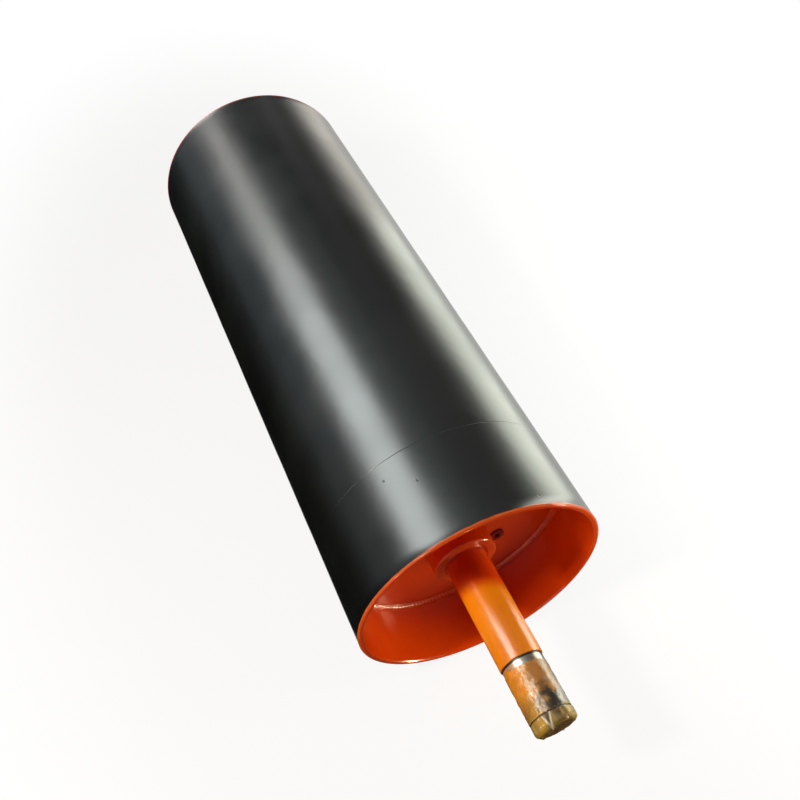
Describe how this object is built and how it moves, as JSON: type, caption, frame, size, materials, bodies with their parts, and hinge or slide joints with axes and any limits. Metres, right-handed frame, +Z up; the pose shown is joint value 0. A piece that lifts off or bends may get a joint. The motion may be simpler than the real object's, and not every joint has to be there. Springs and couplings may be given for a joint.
{
  "type": "conveyor pulley drum",
  "caption": "Rubber-covered steel conveyor bend pulley with recessed end discs, keyed hubs and a live shaft with ground bearing journals.",
  "frame": {"origin": "centre of the drum, on the shaft's axis", "axes": "+Y along the shaft's axis, from the near end (pictured) to the far end; +Z up; +X to the right, seen from the near end"},
  "size_m": [0.506, 1.962, 0.5059],
  "materials": {
    "orange_paint": "gloss enamel over mill plate",
    "shaft_steel": "turned and ground; painted orange between hub and journal",
    "cover_rubber": "smooth black sheet, satin",
    "key_steel": "bright drawn key steel",
    "plug_steel": "black oxide"
  },
  "bodies": {
    "root": {"shell": "orange_paint", "shell_seam_weld": "orange_paint", "lagging_sheet": "cover_rubber", "lagging_strip": "cover_rubber", "end_disc_near": "orange_paint", "end_disc_far": "orange_paint", "hub_near": "orange_paint", "hub_far": "orange_paint", "shaft": "shaft_steel", "key_near": "key_steel", "key_far": "key_steel", "disc_weld_near": "orange_paint", "disc_weld_far": "orange_paint", "hub_outer_weld_near": "orange_paint", "hub_outer_weld_far": "orange_paint", "hub_inner_weld_near": "orange_paint", "hub_inner_weld_far": "orange_paint", "vent_plug": "plug_steel"}
  },
  "joints": []
}
